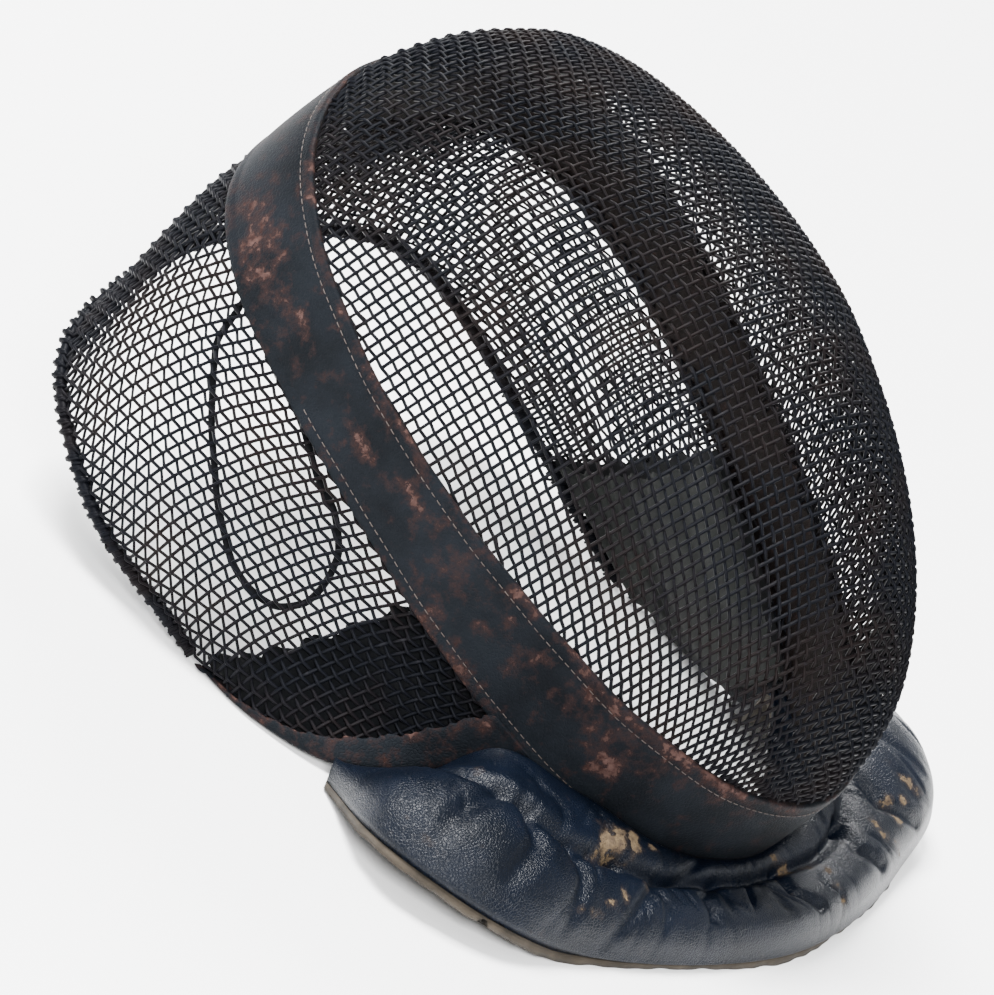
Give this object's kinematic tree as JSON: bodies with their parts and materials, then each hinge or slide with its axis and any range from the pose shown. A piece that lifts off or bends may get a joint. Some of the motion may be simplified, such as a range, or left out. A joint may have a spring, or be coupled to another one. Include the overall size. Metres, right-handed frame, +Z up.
{
  "type": "fencing mask",
  "caption": "Fencing mask with a deep woven wire face, wire crown and sides, leather band, rolled rear edge and padded leather bib, resting face up",
  "frame": {"origin": "middle of the bounding box's underside, on the floor that the mask lies on", "axes": "+X the wearer's left, +Y towards the crown of the head as the mask lies, +Z up; the face looks up and a little towards -Y"},
  "size_m": [0.2928, 0.291, 0.1861],
  "materials": {
    "wire": "black enamelled woven steel wire",
    "band_leather": "worn dark blue-black leather",
    "bib_leather": "glossy padded dark navy leather",
    "felt": "grey felt faced with cloth",
    "canvas": "beige cotton canvas",
    "cord": "dark braided cord"
  },
  "bodies": {
    "root": {"face_mesh": "wire", "back_mesh": "wire", "side_band": "band_leather", "rear_rim": "wire", "lower_binding_right": "band_leather", "lower_binding_left": "band_leather", "inner_pad_right": "felt", "inner_pad_left": "felt", "bib": "bib_leather", "bib_lining": "canvas", "hanging_loop": "cord"}
  },
  "joints": []
}
